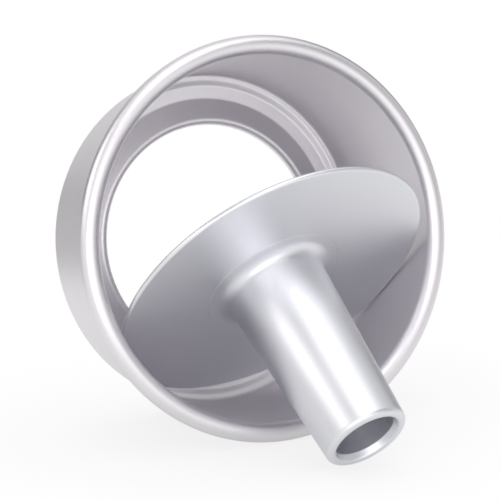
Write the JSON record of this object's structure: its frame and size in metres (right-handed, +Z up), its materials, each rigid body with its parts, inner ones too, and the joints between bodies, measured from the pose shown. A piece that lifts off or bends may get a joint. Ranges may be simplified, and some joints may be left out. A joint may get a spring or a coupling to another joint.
{
  "type": "round tube cake pan",
  "caption": "Round two-piece tube cake pan lying on its side, its loose base plate with a centre tube leaning out of the rolled-rim ring.",
  "frame": {"origin": "middle of the footprint, on the table that the pan lies on", "axes": "+Z up; -Y towards the side that the mouth of the ring and the tube's end face; +X to the right seen from that side"},
  "size_m": [0.2254, 0.1993, 0.22],
  "materials": {
    "ring_satin": "satin anodised, faint lathe lines round the axis",
    "base_satin": "satin anodised, spun in rings round the tube",
    "tube_satin": "satin anodised, drawn smooth"
  },
  "bodies": {
    "pan_ring": {"outer_ring": "ring_satin"},
    "loose_base": {"base_plate": "base_satin", "centre_tube": "tube_satin"}
  },
  "joints": [
    {"name": "base_tip", "type": "hinge", "parent": "pan_ring", "child": "loose_base", "pos_m": [0.01035, 0.04821, 0.01585], "axis": [-0.9921, -0.0279, -0.1222], "range_deg": [0, 49.77]}
  ]
}
